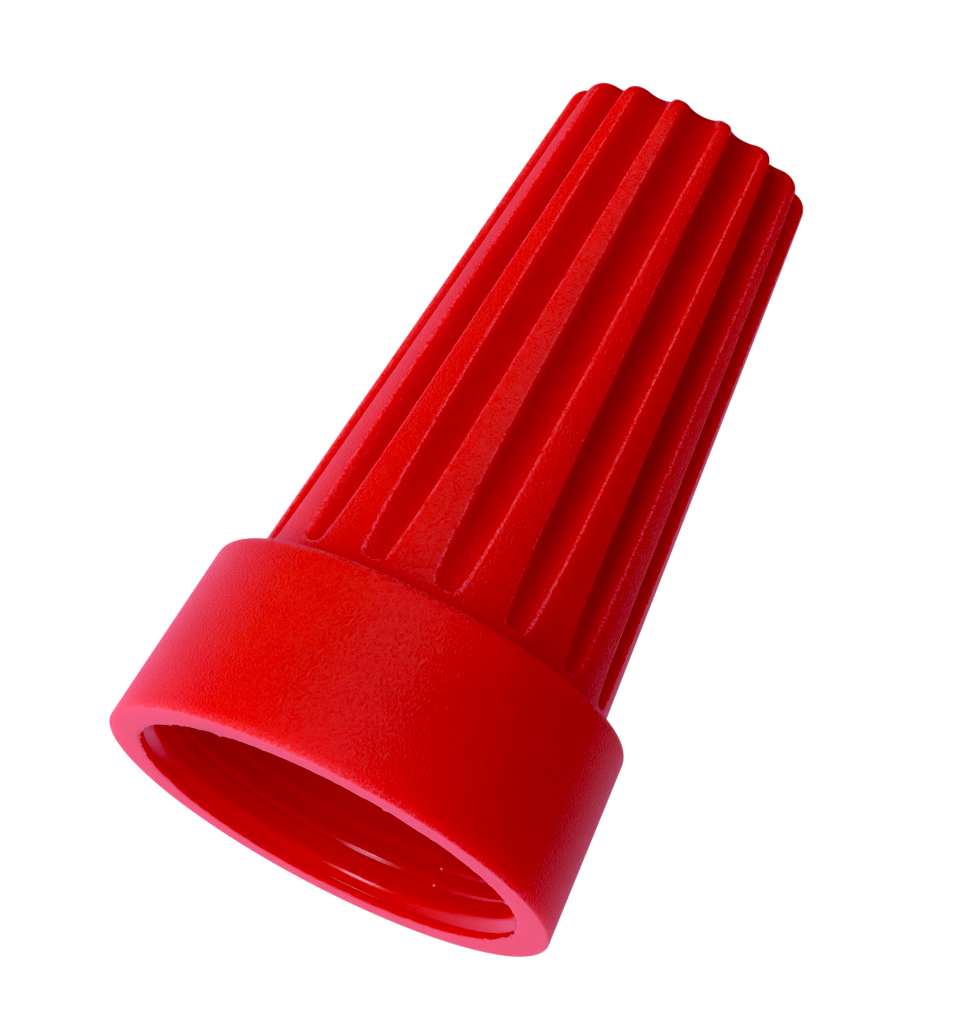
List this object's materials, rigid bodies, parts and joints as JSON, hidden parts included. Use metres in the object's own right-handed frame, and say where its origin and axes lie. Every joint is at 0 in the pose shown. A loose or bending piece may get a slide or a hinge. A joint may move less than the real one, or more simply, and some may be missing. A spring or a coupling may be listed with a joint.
{
  "type": "twist wire connector",
  "caption": "Conical twist-on wire connector: fluted plastic shell with a round skirt, stepped wire mouth and a conical square-wire spring inside.",
  "frame": {"origin": "centre of the mouth, on the plane of the rim", "axes": "+Z along the connector's axis from the mouth to the closed tip; +X through the middle of one grip flute"},
  "size_m": [0.017, 0.017, 0.0281],
  "materials": {
    "red_plastic": "fine spark-eroded matte outside, smoother inside",
    "spring_steel": "bright zinc plate"
  },
  "bodies": {
    "root": {"shell": "red_plastic", "spring": "spring_steel"}
  },
  "joints": []
}
